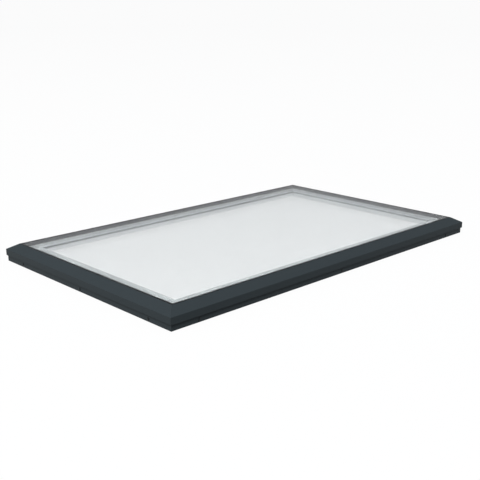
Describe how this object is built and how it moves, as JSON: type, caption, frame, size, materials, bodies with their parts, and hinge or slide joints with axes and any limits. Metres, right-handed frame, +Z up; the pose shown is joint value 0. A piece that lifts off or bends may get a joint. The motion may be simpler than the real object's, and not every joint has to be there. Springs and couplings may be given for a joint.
{
  "type": "roof skylight",
  "caption": "Fixed flat-roof skylight: a sealed glass unit set flush in a bevelled, mitred metal frame whose skirt drops over a roof kerb.",
  "frame": {"origin": "middle of the footprint, on the level of the skirt's lower edge", "axes": "+X along the long side, +Y along the short side, +Z up through the glass"},
  "size_m": [2.08, 1.28, 0.0885],
  "materials": {
    "frame_coat": "anthracite powder coat on aluminium, fine satin; the skirt's side towards the kerb is guessed to be bare metal",
    "cap_plastic": "moulded nylon caps coloured to the frame",
    "inner_pvcu": "light grey extruded PVC-U",
    "float_glass": "polished float glass",
    "spacer_composite": "black composite warm-edge spacer",
    "sealant": "black silicone, tooled smooth",
    "glazing_tape": "grey closed-cell glazing tape",
    "kerb_foam": "black cellular EPDM strip",
    "cleat_aluminium": "cast and extruded aluminium, mill finish",
    "packer_plastic": "moulded polypropylene packers"
  },
  "bodies": {
    "root": {"cover_cap_front": "frame_coat", "base_frame_front": "frame_coat", "inner_frame_front": "inner_pvcu", "weather_seal_front": "sealant", "glazing_tape_front": "glazing_tape", "kerb_seal_front": "kerb_foam", "spacer_bar_front": "spacer_composite", "cover_cap_right": "frame_coat", "base_frame_right": "frame_coat", "inner_frame_right": "inner_pvcu", "weather_seal_right": "sealant", "glazing_tape_right": "glazing_tape", "kerb_seal_right": "kerb_foam", "spacer_bar_right": "spacer_composite", "cover_cap_back": "frame_coat", "base_frame_back": "frame_coat", "inner_frame_back": "inner_pvcu", "weather_seal_back": "sealant", "glazing_tape_back": "glazing_tape", "kerb_seal_back": "kerb_foam", "spacer_bar_back": "spacer_composite", "cover_cap_left": "frame_coat", "base_frame_left": "frame_coat", "inner_frame_left": "inner_pvcu", "weather_seal_left": "sealant", "glazing_tape_left": "glazing_tape", "kerb_seal_left": "kerb_foam", "spacer_bar_left": "spacer_composite", "outer_pane": "float_glass", "inner_pane": "float_glass", "edge_sealant": "sealant", "spacer_corner_keys": "spacer_composite", "base_corner_cleats": "cleat_aluminium", "cap_corner_keys": "cleat_aluminium", "edge_packers": "packer_plastic", "fixing_hole_caps": "cap_plastic"}
  },
  "joints": []
}
